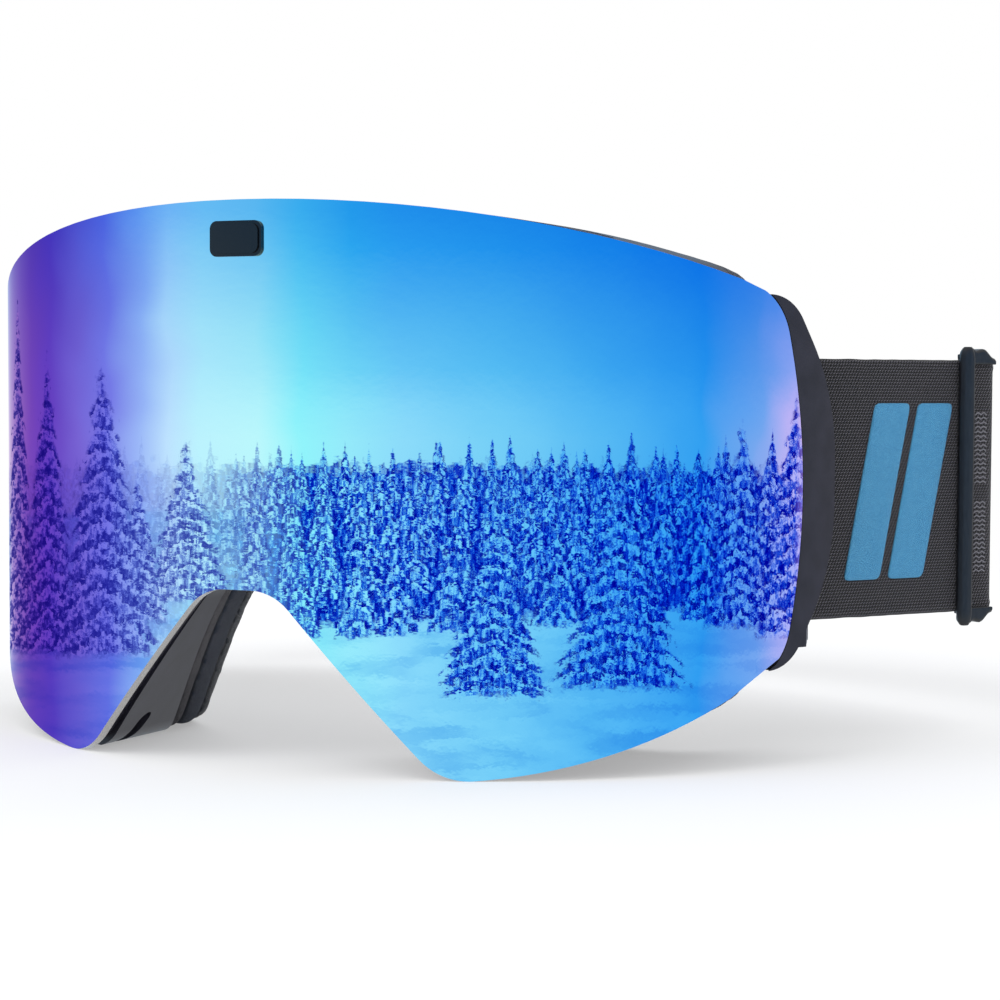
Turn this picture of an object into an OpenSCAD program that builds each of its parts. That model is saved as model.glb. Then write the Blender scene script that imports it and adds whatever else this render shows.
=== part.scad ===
// Ski goggles with a frameless cylindrical lens that is held by magnets.
// +Z is up, the lens faces -Y and the wearer's left is +X. The origin is under the middle of the
// whole object, at the level that it stands on.

/* [Lens] */
// Radius of the lens cylinder
lens_r = 98; // [90:1:120]
// Width of the lens, measured round its curve
lens_arc = 211; // [185:1:225]
// Height of the lens
lens_h = 100; // [85:1:120]
// Thickness of the outer lens
lens_t = 1.8; // [1.2:0.1:2.4]
// Thickness of the inner lens
inner_lens_t = 0.8; // [0.6:0.1:1.2]
// Air gap between the two lenses, filled at the edge by the spacer
spacer_t = 2.6; // [2:0.1:4]
// How far the top edge falls from the middle to the outer corner
top_fall = 16; // [8:1:24]
// How far the bottom edge rises from the lobe to the outer corner
bottom_rise = 19; // [10:1:28]

/* [Nose] */
// Height of the arch over the nose
nose_h = 32; // [24:1:38]
// Width of the arch at its flat top
nose_top_w = 14; // [8:1:20]
// Width of the nose opening at the bottom of the lobes
nose_base_w = 75; // [64:1:84]

/* [Frame] */
// Wall of the moulded frame
wall = 2; // [1.6:0.1:2.6]
// Distance from the lens edge in to the frame's outer wall
frame_inset = 1.2; // [0.8:0.1:2]
// Width of the part of the frame that goes on the face, outside the foam
face_w = 149; // [136:1:152]
// Depth from the front of the lens to the back of the foam at the brow
brow_depth = 33; // [30:1:40]
// Radius of the brow curve
face_r = 88; // [84:1:110]
// How much shallower the back of the foam is over the nose
nose_relief = 10.5; // [6:0.5:10.5]
// How much deeper the back of the foam is over the cheeks
cheek_depth = 8; // [2:0.5:12]
// How far each side wing reaches past the end of the lens
wing_reach = 7.6; // [5:0.1:9]

/* [Foam] */
// Thickness of the light base layer of the face foam
foam_base_t = 4; // [3:0.5:6]
// Thickness of the middle layer of the face foam
foam_mid_t = 6; // [4:0.5:8]
// Thickness of the fleece that lies on the skin
fleece_t = 3; // [2:0.5:4]
// Width of the face foam
foam_w = 12; // [9:0.5:14]

/* [Magnets] */
// Diameter of each magnet
magnet_d = 4; // [3:0.5:4]
// Thickness of each magnet
magnet_t = 1.4; // [1:0.1:1.6]

/* [Strap] */
// Width of the strap
strap_w = 48.5; // [38:0.5:50]
// Thickness of the strap
strap_t = 1.3; // [1:0.1:1.6]
// Diameter of the steel pin that each end of the strap goes round
pin_d = 2.5; // [2:0.1:3]
// Length of the doubled stretch of strap on each side
double_len = 46; // [40:0.5:52]
// Angle at which the strap leaves the frame, from straight sideways
strap_angle = 55; // [50:1:62]
// Radius of the bend behind each slider
bend_r = 18; // [14:1:20]
// Direction of the strap after that bend, from straight sideways
back_angle = 140; // [132:1:150]

/* [Slider] */
// Height of the slider
slider_h = 54; // [52:0.5:58]
// Width of the slider's outer bar
bar_w = 2.8; // [2.5:0.1:3.5]
// Thickness of the slider's outer bar and keeper bar
bar_t = 2.2; // [1.8:0.1:2.6]
// Gap between the outer bar and the bar that carries the strap's end
window_w = 4; // [3:0.1:5]
// Thickness of the bar that carries the strap's end
end_bar_t = 1.8; // [1.4:0.1:2]

/* [Vents] */
// Width of each vent slot
vent_w = 3.2; // [2.4:0.1:3.6]
// Thickness of the foam behind the vents
vent_foam_t = 2; // [1.5:0.1:3]

/* [Hidden] */
$fn = 96;

gap = 0.3;            // between pieces that move past each other
glue = 0.05;          // between pieces that are glued or pressed together
far = 200;            // longer than anything in the object
arc_steps = 16;       // segments in a rounded corner
curve_steps = 24;     // segments in one side of a face curve
deg = 180 / PI;

// The lens outline, laid flat: distance round the curve, height, corner radius. Right half,
// from the top middle clockwise to the nose arch.
half_arc = lens_arc / 2;
corner_in = 5;        // the upper outer corner's distance in from the end
side_out = 3;         // where the two side tangents meet, past the end
lens_outline = grounded([
  [(half_arc - corner_in) * 0.47, lens_h, (half_arc - corner_in) * 3.15],
  [half_arc - corner_in, lens_h - top_fall, 12],
  [half_arc + side_out, lens_h / 2, 117],
  [half_arc - corner_in + 1, bottom_rise, 12.5],
  [nose_base_w / 2 + (half_arc - nose_base_w / 2) * 0.46, 2.5, 125],
  [nose_base_w / 2, 0, 12],
  [nose_top_w / 2, nose_h, 10]
], 0, 0);

// The same outline run straight on past its ends, for the cuts that leave the ends alone.
top_slope = (lens_outline[1][1] - lens_outline[0][1]) / (lens_outline[1][0] - lens_outline[0][0]);
low_slope = (lens_outline[3][1] - lens_outline[4][1]) / (lens_outline[3][0] - lens_outline[4][0]);
past_end = half_arc + 18;
open_outline = [
  lens_outline[0],
  [past_end, lens_outline[1][1] + top_slope * (past_end - lens_outline[1][0]), 1],
  [past_end, lens_outline[3][1] + low_slope * (past_end - lens_outline[3][0]), 1],
  lens_outline[4], lens_outline[5], lens_outline[6]
];

// The outline of the part that goes on the face. Its lobes come down to the ground beside the lens,
// and a little of each is cut off flat as a foot.
foot_cut = 0.25;
face_u = asin((face_w / 2 + 1) / lens_r) / deg * lens_r;
tube_top = lens_outline[0][1] + top_slope * (face_u - 4 - lens_outline[0][0]);
tube_low = lens_outline[4][1] + low_slope * (face_u - 4 - lens_outline[4][0]);
tube_mid_z = 2.2;     // height of the tube's bottom edge halfway along
tube_outline = grounded([
  lens_outline[0],
  [face_u - 4, tube_top, 16],
  [face_u + 3, lens_h / 2, 110],
  [face_u - 4, tube_low, 14],
  [nose_base_w / 2 + (face_u - nose_base_w / 2) * 0.46, tube_mid_z - frame_inset, 80],
  lens_outline[5] - [0, frame_inset, 0],
  lens_outline[6]
], frame_inset, -foot_cut);

// The crescent of each wing, past the end of the lens.
wing_outline = [
  [half_arc - 30, lens_h - top_fall, 1],
  [half_arc - 2.5, lens_h - top_fall + 0.3, 9],
  [half_arc + wing_reach + 1.2, lens_h / 2 + 16, 40],
  [half_arc + wing_reach + 1.2, lens_h / 2 - 14, 40],
  [half_arc - 2.5, bottom_rise - 1.6, 9],
  [half_arc - 30, bottom_rise - 1.6, 1]
];

// Radii of the layers, from the outside in.
spacer_out = lens_r - lens_t - glue;
inner_lens_out = spacer_out - spacer_t - glue;
carrier_in = inner_lens_out - inner_lens_t - 0.2;
floor_out = carrier_in - gap;
floor_t = 2;
floor_in = floor_out - floor_t;
wall_out = lens_r - lens_t - gap;
wing_out = lens_r - 0.4;
wing_t = 3.6;

// Distances in from the lens edge.
carrier_inset = frame_inset + wall + 0.4;
carrier_w = 6;
spacer_inset = carrier_inset + carrier_w + gap;
spacer_w = 4;
floor_inset = carrier_inset + carrier_w + 0.9;
magnet_inset = carrier_inset + carrier_w / 2;
end_azimuth = (half_arc - 5) / lens_r * deg;
lens_half_angle = (half_arc + 6) / lens_r * deg;

foam_t = foam_base_t + foam_mid_t + fleece_t;
cheek_x = 46;         // where the cheek is deepest
cheek_end = 66;       // where the cheek runs out
rim_t = 1.6;          // rim that the face foam is glued to
rim_w = 9;

strap_z = lens_h / 2 - 1.1;
pin_past = 11.8;      // the strap pin's distance past the end of the lens
pin_deep = 12.2;      // and its distance inside the lens curve
pin_azimuth = (half_arc + pin_past) / lens_r * deg;
pin_radius = lens_r - pin_deep;
pin_at = on_lens(pin_radius, pin_azimuth);
turn_r = pin_d / 2 + 0.25 + strap_t / 2;
ear_r = pin_d / 2 + 1.5;
ear_t = 3;
pin_fit = 0.02;

end_turn_r = end_bar_t / 2 + 0.2 + strap_t / 2;
end_bar_n = turn_r - end_turn_r;
inner_n = -(end_turn_r * 2 - turn_r + strap_t + gap);
end_bar_at = double_len - end_turn_r;
bar_at = end_bar_at - end_bar_t / 2 - window_w - bar_w;

// ---------- flat geometry ----------

function unit(v) = v / norm(v);
function turned(v, a) = [v[0] * cos(a) - v[1] * sin(a), v[0] * sin(a) + v[1] * cos(a)];
function flat(p) = [p[0], p[1]];
function on_lens(r, azimuth) = [r * sin(azimuth), lens_r - r * cos(azimuth)];
function cross_z(a, b) = a[0] * b[1] - a[1] * b[0];

// Both halves of an outline that is given by its right half.
function both_sides(half) =
  concat([for (i = [len(half) - 1:-1:0]) [-half[i][0], half[i][1], half[i][2]]], half);

function at(list, i) = list[(i + len(list)) % len(list)];

// How far the outline turns at corner i.
function bend_at(pts, i) =
  let (d1 = flat(pts[i]) - flat(at(pts, i - 1)), d2 = flat(at(pts, i + 1)) - flat(pts[i]))
  atan2(cross_z(d1, d2), d1 * d2);

// The arc that rounds corner i, cut into short lines.
function corner_arc(pts, i, bend, reach) =
  let (b = flat(pts[i]), d1 = unit(b - flat(at(pts, i - 1))), r = reach / tan(abs(bend) / 2))
  let (start = b - d1 * reach, centre = start + r * sign(bend) * [-d1[1], d1[0]])
  [for (k = [0:arc_steps]) centre + turned(start - centre, bend * k / arc_steps)];

// An outline with every corner rounded. Where two arcs would meet on one side, both get smaller.
function rounded(pts) =
  let (last = len(pts) - 1, bend = [for (i = [0:last]) bend_at(pts, i)])
  let (want = [for (i = [0:last]) pts[i][2] * tan(abs(bend[i]) / 2)])
  let (side = [for (i = [0:last]) 0.98 * norm(flat(at(pts, i + 1)) - flat(pts[i])) / (want[i] + at(want, i + 1))])
  [for (i = [0:last]) each corner_arc(pts, i, bend[i], want[i] * min(1, side[i], at(side, i - 1)))];

// A clockwise outline with every edge moved in by d, and its corner radii to match.
function moved_in(pts, d) = [
  for (i = [0:len(pts) - 1])
    let (p = pts[i], d1 = unit(flat(p) - flat(at(pts, i - 1))), d2 = unit(flat(at(pts, i + 1)) - flat(p)))
    let (n1 = [d1[1], -d1[0]], n2 = [d2[1], -d2[0]], q = flat(p) + d * (n1 + n2) / (1 + n1 * n2))
    [q[0], q[1], max(0.6, cross_z(d1, d2) < 0 ? p[2] - d : p[2] + d)]
];

// The lowest height of an outline moved in by d, and the outline with its lobes brought to height z.
// Each step closes most of what is left, because a moved corner changes its arc a little.
function low(half, d) = min([for (p = rounded(moved_in(both_sides(half), d))) p[1]]);
function grounded(half, d, z, steps = 7) = steps == 0 ? half : grounded(
  [for (i = [0:len(half) - 1]) i == len(half) - 2 ? half[i] + [0, z - low(half, d), 0] : half[i]],
  d, z, steps - 1);

// Points of the laid-flat outline, as they are seen from straight in front.
function front_view(pts) = [for (p = pts) [lens_r * sin(p[0] / lens_r * deg), p[1]]];

// The back of the face foam, seen from above.
function brow_y(x) = brow_depth + face_r - sqrt(face_r * face_r - x * x);
function wave(t) = (1 - cos(180 * t)) / 2;
function cheek_y(x) =
  let (a = abs(x))
  brow_y(x) + (a < cheek_x
    ? (nose_relief + cheek_depth) * wave(a / cheek_x) - nose_relief
    : cheek_depth * (1 - wave(min(1, (a - cheek_x) / (cheek_end - cheek_x)))));
curve_half = face_w / 2 + 1;
curve_x = [for (k = [-curve_steps:curve_steps]) curve_half * k / curve_steps];

// ---------- solid geometry ----------

// A flat shape drawn in X and Z, run from y = front to y = back.
module along_y(front, back) {
  translate([0, back, 0]) rotate([90, 0, 0]) linear_extrude(back - front) children();
}

// A flat shape drawn in the plane that touches the lens at the given azimuth, run through the axis.
module towards_axis(azimuth) {
  translate([0, lens_r, 0]) rotate([0, 0, azimuth]) along_y(-lens_r - 5, lens_r) children();
}

// A sector of a tube about the lens axis.
module shell(r_in, r_out, half_angle = lens_half_angle) {
  translate([0, lens_r, -10]) rotate([0, 0, -90 - half_angle])
    rotate_extrude(angle = half_angle * 2) translate([r_in, 0]) square([r_out - r_in, lens_h + 20]);
}

// The end of an outline, as a flat shape that keeps all that lies inboard of that end.
module end_shape(inset) {
  pts = rounded(moved_in(both_sides(lens_outline), inset));
  from_u = half_arc * 0.86;
  kept = [for (p = pts) if (p[0] > from_u) [lens_r * sin(p[0] / lens_r * deg - end_azimuth), p[1]]];
  left = lens_r * sin(from_u / lens_r * deg - end_azimuth);
  polygon(concat([[-far, -far], [-far, far], [left, far]], kept, [[left, -far]]));
}

// A curved panel with the lens outline, smaller by inset all round, between two radii.
module panel(inset, r_in, r_out) {
  intersection() {
    shell(r_in, r_out);
    along_y(-5, lens_r) polygon(front_view(rounded(moved_in(both_sides(open_outline), inset))));
    towards_axis(end_azimuth) end_shape(inset);
    mirror([1, 0, 0]) towards_axis(end_azimuth) end_shape(inset);
  }
}

module ring(inset, width, r_in, r_out) {
  difference() {
    panel(inset, r_in, r_out);
    panel(inset + width, r_in - 1, r_out + 1);
  }
}

// The tube that goes on the face: its outline, smaller by inset.
module tube_shape(inset) {
  polygon(front_view(rounded(moved_in(both_sides(tube_outline), inset))));
}

module tube_ring_shape(inset, width) {
  difference() {
    tube_shape(inset);
    tube_shape(inset + width);
  }
}

// All between two copies of the face curve, which lie ahead of the foam's back by near and by off.
module face_slice(off, near) {
  split_z = lens_h / 2;
  translate([0, 0, -10]) linear_extrude(split_z + 10) polygon(concat(
    [for (x = curve_x) [x, cheek_y(x) - off]],
    [for (k = [len(curve_x) - 1:-1:0]) [curve_x[k], cheek_y(curve_x[k]) - near]]
  ));
  translate([0, 0, split_z]) linear_extrude(lens_h) polygon(concat(
    [for (x = curve_x) [x, brow_y(x) - off]],
    [for (k = [len(curve_x) - 1:-1:0]) [curve_x[k], brow_y(curve_x[k]) - near]]
  ));
}

// Everything behind the lens, inside the given radius.
module inside(radius) {
  translate([0, lens_r, -10]) cylinder(r = radius, h = lens_h + 20);
}

// Puts a disc at a point of the laid-flat lens, from radius r inwards, at the x that the point has
// as seen from straight in front.
module disc_at(p, r, thickness, diameter) {
  azimuth = asin(lens_r * sin(p[0] / lens_r * deg) / carrier_in);
  on_curve = on_lens(r, azimuth);
  translate([on_curve[0], on_curve[1], p[1]]) rotate([-90, 0, azimuth])
    cylinder(d = diameter, h = thickness, $fn = 32);
}

// ---------- lens module ----------

// Five magnets a side: three under the top edge and two over the bottom edge.
magnet_line = rounded(moved_in(both_sides(lens_outline), magnet_inset));
first_right = len(lens_outline) * (arc_steps + 1);
magnet_spots = [
  for (k = [3, 8, 14]) magnet_line[first_right + k],
  for (k = [3, 12]) magnet_line[first_right + 4 * (arc_steps + 1) + k]
];

module all_magnets(r, thickness, diameter) {
  for (p = magnet_spots) {
    disc_at(p, r, thickness, diameter);
    disc_at([-p[0], p[1]], r, thickness, diameter);
  }
}

module outer_lens() {
  color("#2f8fe8") panel(0, lens_r - lens_t, lens_r);
}

module inner_lens() {
  color([0.75, 0.8, 0.85, 0.5]) panel(spacer_inset, inner_lens_out - inner_lens_t, inner_lens_out);
}

module lens_spacer() {
  color("#1c1c1e") ring(spacer_inset, spacer_w, inner_lens_out + glue, spacer_out);
}

module lens_carrier() {
  color("#202126") difference() {
    ring(carrier_inset, carrier_w, carrier_in, spacer_out);
    all_magnets(carrier_in + magnet_t + glue, magnet_t + 1, magnet_d + glue * 2);
  }
}

module lens_magnets() {
  color("#b8babd") all_magnets(carrier_in + magnet_t, magnet_t, magnet_d);
}

// The bare name plate on the lens, with a stepped edge.
badge_w = 10.4;
badge_h = 6.2;
badge_t = 0.9;
badge_z = lens_h - 6.8;
badge_step = 0.5;
module badge_plate(inset, thickness) {
  corner = 1.4;
  w = badge_w / 2 - inset;
  h = badge_h / 2 - inset;
  pts = [[-w, h, corner], [w, h, corner], [w, -h, corner], [-w, -h, corner]];
  intersection() {
    shell(lens_r + glue, lens_r + thickness);
    along_y(-5, 5) translate([0, badge_z]) polygon(rounded(pts));
  }
}

module badge() {
  color("#0c0c0e") {
    badge_plate(0, badge_t - 0.35);
    badge_plate(badge_step, badge_t);
  }
}

// ---------- frame ----------

// Slots through the top of the tube, and through the bottom of each lobe.
top_vents = [12, 33, 52];
bottom_vents = [35, 47, 57];
vent_len = 13;
low_vent_len = 8;
module slot(at_x, at_y, length, low_z, high_z) {
  translate([at_x, at_y, low_z]) linear_extrude(high_z - low_z) {
    square([length - vent_w, vent_w], center = true);
    for (s = [-1, 1]) translate([s * (length - vent_w) / 2, 0]) circle(d = vent_w, $fn = 32);
  }
}

function floor_back(x) = lens_r - sqrt(floor_in * floor_in - x * x);
function top_vent_y(x) = (floor_back(x) + brow_y(x) - foam_t - rim_t) / 2;
function low_vent_y(x) = floor_back(x) + 4.2;

module all_vents() {
  for (s = [-1, 1]) {
    for (x = top_vents) slot(s * x, top_vent_y(x), vent_len, lens_h - top_fall - 6, lens_h + 5);
    for (x = bottom_vents) slot(s * x, low_vent_y(x), low_vent_len, -5, 11);
  }
}

// The wing past the end of the lens and the two ears that hold the strap pin.
module wing() {
  difference() {
    intersection() {
      shell(wing_out - wing_t, wing_out, lens_half_angle + 8);
      towards_axis(end_azimuth) polygon([
        for (p = rounded(wing_outline)) [lens_r * sin(p[0] / lens_r * deg - end_azimuth), p[1]]
      ]);
    }
    panel(-0.5, spacer_out - gap - glue, lens_r + 5);
    panel(frame_inset + wall, 0.1 + floor_out, lens_r + 5);
  }
}

// One ear: a flat plate from the floor and the wing to the pin. Its inner corner is on the tube's
// wall, just ahead of the foam.
module ear(low_z) {
  on_wing = wing_out - wing_t / 2;
  wall_a = (half_arc - frame_inset - wall) / lens_r * deg;
  mid_wall_a = (half_arc - frame_inset - wall / 2) / lens_r * deg;
  out_a = (half_arc + wing_reach - 4) / lens_r * deg;
  tube_x = face_w / 2 - 1.5;
  translate([0, 0, low_z]) linear_extrude(ear_t) difference() {
    union() {
      translate(pin_at) circle(r = ear_r);
      polygon([
        on_lens(floor_in + 1, wall_a),
        on_lens(on_wing, mid_wall_a),
        on_lens(on_wing, out_a),
        pin_at + [ear_r, 0],
        pin_at + [0, ear_r],
        [tube_x, brow_y(tube_x) - foam_t - 1],
        [tube_x, floor_back(tube_x)]
      ]);
    }
    translate(pin_at) circle(r = pin_d / 2 + pin_fit);
  }
}

ear_low = strap_z - strap_w / 2 - 0.7;
ear_high = strap_z + strap_w / 2 + 0.7;

module frame_shell() {
  color("#3a3a42") difference() {
    union() {
      ring(frame_inset, wall, floor_in, wall_out);
      ring(frame_inset, floor_inset - frame_inset, floor_in, floor_out);
      intersection() {
        along_y(0, lens_r) tube_ring_shape(frame_inset, wall);
        inside(floor_out - 0.1);
        face_slice(far, foam_t);
      }
      intersection() {
        along_y(0, lens_r) tube_ring_shape(frame_inset, rim_w);
        inside(floor_out - 0.1);
        face_slice(foam_t + rim_t, foam_t);
      }
      for (s = [0, 1]) mirror([s, 0, 0]) {
        wing();
        ear(ear_low - ear_t);
        ear(ear_high);
      }
    }
    all_magnets(floor_out + 1, magnet_t + 1 + glue, magnet_d + glue * 2);
    all_vents();
    translate([-far / 2, 0, -10]) cube([far, far, 10]);
  }
}

module frame_magnets() {
  color("#b8babd") all_magnets(floor_out, magnet_t, magnet_d);
}

// ---------- vent foam ----------

// A strip that lies against the inside of the tube wall, from x = from_x to x = to_x.
module vent_strip(from_x, to_x, low_z, high_z) {
  color("#26262a") intersection() {
    along_y(0, lens_r) difference() {
      tube_shape(frame_inset + wall + glue);
      tube_shape(frame_inset + wall + vent_foam_t);
    }
    inside(floor_in - glue);
    face_slice(far, foam_t + rim_t + glue);
    translate([from_x, 0, low_z]) cube([to_x - from_x, lens_r, high_z - low_z]);
  }
}

module top_vent_foam() {
  reach = top_vents[2] + vent_len / 2 + 2;
  vent_strip(-reach, reach, lens_h / 2, lens_h);
}

low_reach_in = bottom_vents[0] - low_vent_len / 2 - 1;
low_reach_out = bottom_vents[2] + low_vent_len / 2 + 2;
module bottom_vent_foam_left() {
  vent_strip(low_reach_in, low_reach_out, 0, 14);
}

module bottom_vent_foam_right() {
  vent_strip(-low_reach_out, -low_reach_in, 0, 14);
}

// ---------- face foam ----------

module foam_layer(inset, width, from_back, thickness) {
  intersection() {
    along_y(0, lens_r + 20) tube_ring_shape(inset, width);
    face_slice(from_back + thickness, from_back + glue);
  }
}

module face_foam_base() {
  color("#55555c") foam_layer(frame_inset + 0.3, foam_w, fleece_t + foam_mid_t, foam_base_t - glue);
}

module face_foam_mid() {
  color("#2c2d33") foam_layer(frame_inset + 0.3, foam_w, fleece_t, foam_mid_t);
}

module face_fleece() {
  color("#212229") foam_layer(frame_inset + 0.6, foam_w - 0.6, -glue, fleece_t + glue);
}

// ---------- strap ----------

// Points at distance s along the doubled stretch and n out from it, on the +X side.
along = [cos(strap_angle), sin(strap_angle)];
outward = [sin(strap_angle), -cos(strap_angle)];
function on_strap(s, n) = pin_at + along * s + outward * n;

function arc_points(centre, r, from, to, steps, first = 0) =
  [for (k = [first:steps]) let (a = from + (to - from) * k / steps) centre + r * [cos(a), sin(a)]];

// The middle of the strap, seen from above: from its sewn-in end, round the slider's end bar, round
// the steel pin and back along the inside, to the middle of the back.
end_tail = 9;         // how far the sewn-in end runs back towards the frame
bend_from = bar_at + bar_w;
bend_centre = on_strap(bend_from, inner_n) - outward * bend_r;
back_start = bend_centre + bend_r * [sin(back_angle), -cos(back_angle)];
back_r = back_start[0] / sin(180 - back_angle);
back_centre = [0, back_start[1] + back_r * cos(back_angle)];
end_turn = on_strap(end_bar_at, end_bar_n);
pin_side = 90 + strap_angle;
half_path = concat(
  [on_strap(end_bar_at - end_tail, end_bar_n - end_turn_r)],
  arc_points(end_turn, end_turn_r, pin_side, pin_side - 180, 12),
  arc_points(pin_at, turn_r, strap_angle - 90, strap_angle - 270, 16),
  arc_points(bend_centre, bend_r, strap_angle - 90, back_angle - 90, 20),
  arc_points(back_centre, back_r, back_angle - 90, 90, 24, 1)
);
path_normals = [
  for (i = [0:len(half_path) - 1])
    let (a = half_path[max(0, i - 1)], b = half_path[min(len(half_path) - 1, i + 1)])
    let (d = i == len(half_path) - 1 ? [-1, 0] : unit(b - a))
    [d[1], -d[0]]
];

// A band that follows the strap between two offsets, from path point first to its mirror image.
module band(first, low, high, low_z, high_z) {
  last = len(half_path) - 1;
  inner = [for (i = [first:last]) half_path[i] + path_normals[i] * low];
  outer = [for (i = [first:last]) half_path[i] + path_normals[i] * high];
  n = len(inner) - 1;
  translate([0, 0, low_z]) linear_extrude(high_z - low_z) polygon(concat(
    inner,
    [for (i = [n - 1:-1:0]) [-inner[i][0], inner[i][1]]],
    [for (p = outer) [-p[0], p[1]]],
    [for (i = [n - 1:-1:0]) outer[i]]
  ));
}

module strap() {
  color("#3b393f") band(0, -strap_t / 2, strap_t / 2, strap_z - strap_w / 2, strap_z + strap_w / 2);
}

// Three rubber lines on the inside of the back of the strap.
grip_w = 2.4;
grip_t = 0.5;
grip_pitch = 14;
module grip_strips() {
  color("#55585c") for (k = [-1:1])
    band(len(half_path) - 22, -strap_t / 2 - grip_t, -strap_t / 2 - glue,
      strap_z + k * grip_pitch - grip_w / 2, strap_z + k * grip_pitch + grip_w / 2);
}

module pin_piece() {
  color("#9a9ca0") translate([pin_at[0], pin_at[1], ear_low - ear_t])
    cylinder(d = pin_d, h = ear_high - ear_low + 2 * ear_t);
}

module strap_pin_left() {
  pin_piece();
}

module strap_pin_right() {
  mirror([1, 0, 0]) pin_piece();
}

// ---------- sliders ----------

// A block between two distances along the strap and two out from it.
module strap_block(s1, s2, n1, n2, low_z, high_z) {
  translate([0, 0, low_z]) linear_extrude(high_z - low_z)
    polygon([on_strap(s1, n1), on_strap(s2, n1), on_strap(s2, n2), on_strap(s1, n2)]);
}

// Three bars across the strap, joined at their ends: one over it, a round one in the fold of its
// end, and a keeper under it that stands clear of the bend.
keeper_drop = 1.1;
module slider_piece() {
  low = strap_z - slider_h / 2;
  high = strap_z + slider_h / 2;
  over = turn_r + strap_t / 2 + gap;
  under = inner_n - strap_t / 2 - gap - keeper_drop;
  cheek = (slider_h - strap_w) / 2 - 0.6;
  heel = end_bar_at + 1.2;
  color("#20242c") {
    strap_block(bar_at, bar_at + bar_w, over, over + bar_t, low, high);
    strap_block(heel - bar_w, heel, under - bar_t, under, low, high);
    translate([end_turn[0], end_turn[1], low]) cylinder(d = end_bar_t, h = slider_h);
    for (z = [low, high - cheek]) {
      strap_block(heel - bar_w, heel, under - bar_t, over, z, z + cheek);
      translate([0, 0, z]) linear_extrude(cheek) polygon([
        on_strap(bar_at, over), on_strap(heel - bar_w, end_bar_n - 1.5), on_strap(heel, end_bar_n - 1.5),
        on_strap(heel, over + 0.4), on_strap(bar_at, over + 0.4)
      ]);
    }
  }
}

module slider_left() {
  slider_piece();
}

module slider_right() {
  mirror([1, 0, 0]) slider_piece();
}

// Puts a piece in the part's frame, with the origin under the middle of the whole object.
back_y = back_centre[1] + back_r + strap_t / 2;
module placed() {
  translate([0, (badge_t - back_y) / 2, 0]) children();
}

placed() outer_lens();
placed() inner_lens();
placed() lens_spacer();
placed() lens_carrier();
placed() lens_magnets();
placed() badge();
placed() frame_shell();
placed() frame_magnets();
placed() top_vent_foam();
placed() bottom_vent_foam_left();
placed() bottom_vent_foam_right();
placed() face_foam_base();
placed() face_foam_mid();
placed() face_fleece();
placed() strap();
placed() grip_strips();
placed() strap_pin_left();
placed() strap_pin_right();
placed() slider_left();
placed() slider_right();
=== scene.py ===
import math

import bmesh
import bpy
import numpy as np
from mathutils import Euler, Matrix, Vector, noise


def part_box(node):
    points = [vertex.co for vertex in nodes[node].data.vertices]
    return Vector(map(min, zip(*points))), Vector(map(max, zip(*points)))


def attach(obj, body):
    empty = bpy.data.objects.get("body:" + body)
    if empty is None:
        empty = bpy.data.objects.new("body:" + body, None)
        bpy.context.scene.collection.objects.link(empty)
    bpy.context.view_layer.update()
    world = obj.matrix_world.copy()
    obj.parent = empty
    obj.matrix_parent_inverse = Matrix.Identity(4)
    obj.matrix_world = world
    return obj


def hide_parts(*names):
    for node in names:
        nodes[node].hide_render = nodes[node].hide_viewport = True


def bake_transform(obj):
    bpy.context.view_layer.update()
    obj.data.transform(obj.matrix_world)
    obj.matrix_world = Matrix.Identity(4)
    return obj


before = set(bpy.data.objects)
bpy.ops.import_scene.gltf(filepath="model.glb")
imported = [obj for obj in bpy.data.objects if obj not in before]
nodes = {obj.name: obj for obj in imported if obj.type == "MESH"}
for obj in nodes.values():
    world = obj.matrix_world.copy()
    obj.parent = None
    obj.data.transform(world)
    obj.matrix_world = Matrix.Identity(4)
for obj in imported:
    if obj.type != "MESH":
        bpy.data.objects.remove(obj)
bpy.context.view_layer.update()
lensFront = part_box("outer_lens")[0].y
print("frame loaded")


def toLinear(hexColour):
    parts = [int(hexColour[i:i + 2], 16) / 255 for i in (1, 3, 5)]
    linear = [c / 12.92 if c <= 0.04045 else ((c + 0.055) / 1.055) ** 2.4 for c in parts]
    return (*linear, 1.0)


def addNode(tree, kind, inputs=(), operation=None, **settings):
    # inputs is a list by place or a dictionary by name; a node stands for its first live output;
    # a shader node's kind is given without its ShaderNode
    node = tree.nodes.new(kind if "Node" in kind else "ShaderNode" + kind)
    stops = settings.pop("stops", [])
    if operation:
        node.operation = operation
    for name, value in settings.items():
        setattr(node, name, value)
    pairs = inputs.items() if isinstance(inputs, dict) else enumerate(inputs)
    for key, value in pairs:
        if value is None:
            continue
        if isinstance(value, bpy.types.Node):
            value = next(o for o in value.outputs if o.enabled)
        if isinstance(value, bpy.types.NodeSocket):
            tree.links.new(value, node.inputs[key])
        else:
            node.inputs[key].default_value = value
    for k, (place, colour) in enumerate(stops):
        element = node.color_ramp.elements[k] if k < 2 else node.color_ramp.elements.new(place)
        element.position = place
        element.color = toLinear(colour)
    return node


def newMaterial(name):
    material = bpy.data.materials.new(name)
    material.use_nodes = True
    tree = material.node_tree
    tree.nodes.clear()
    return material, tree


def finishMaterial(tree, surface):
    addNode(tree, "OutputMaterial", [surface])


def newPiece(name, vertices, faces, materials, faceMaterials=None):
    mesh = bpy.data.meshes.new(name)
    mesh.from_pydata([tuple(v) for v in vertices], [], faces)
    piece = bpy.data.objects.new(name, mesh)
    bpy.context.scene.collection.objects.link(piece)
    for material in materials:
        mesh.materials.append(material)
    if faceMaterials is not None:
        mesh.polygons.foreach_set("material_index", faceMaterials)
    mesh.polygons.foreach_set("use_smooth", [True] * len(mesh.polygons))
    mesh.update()
    return piece


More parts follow.
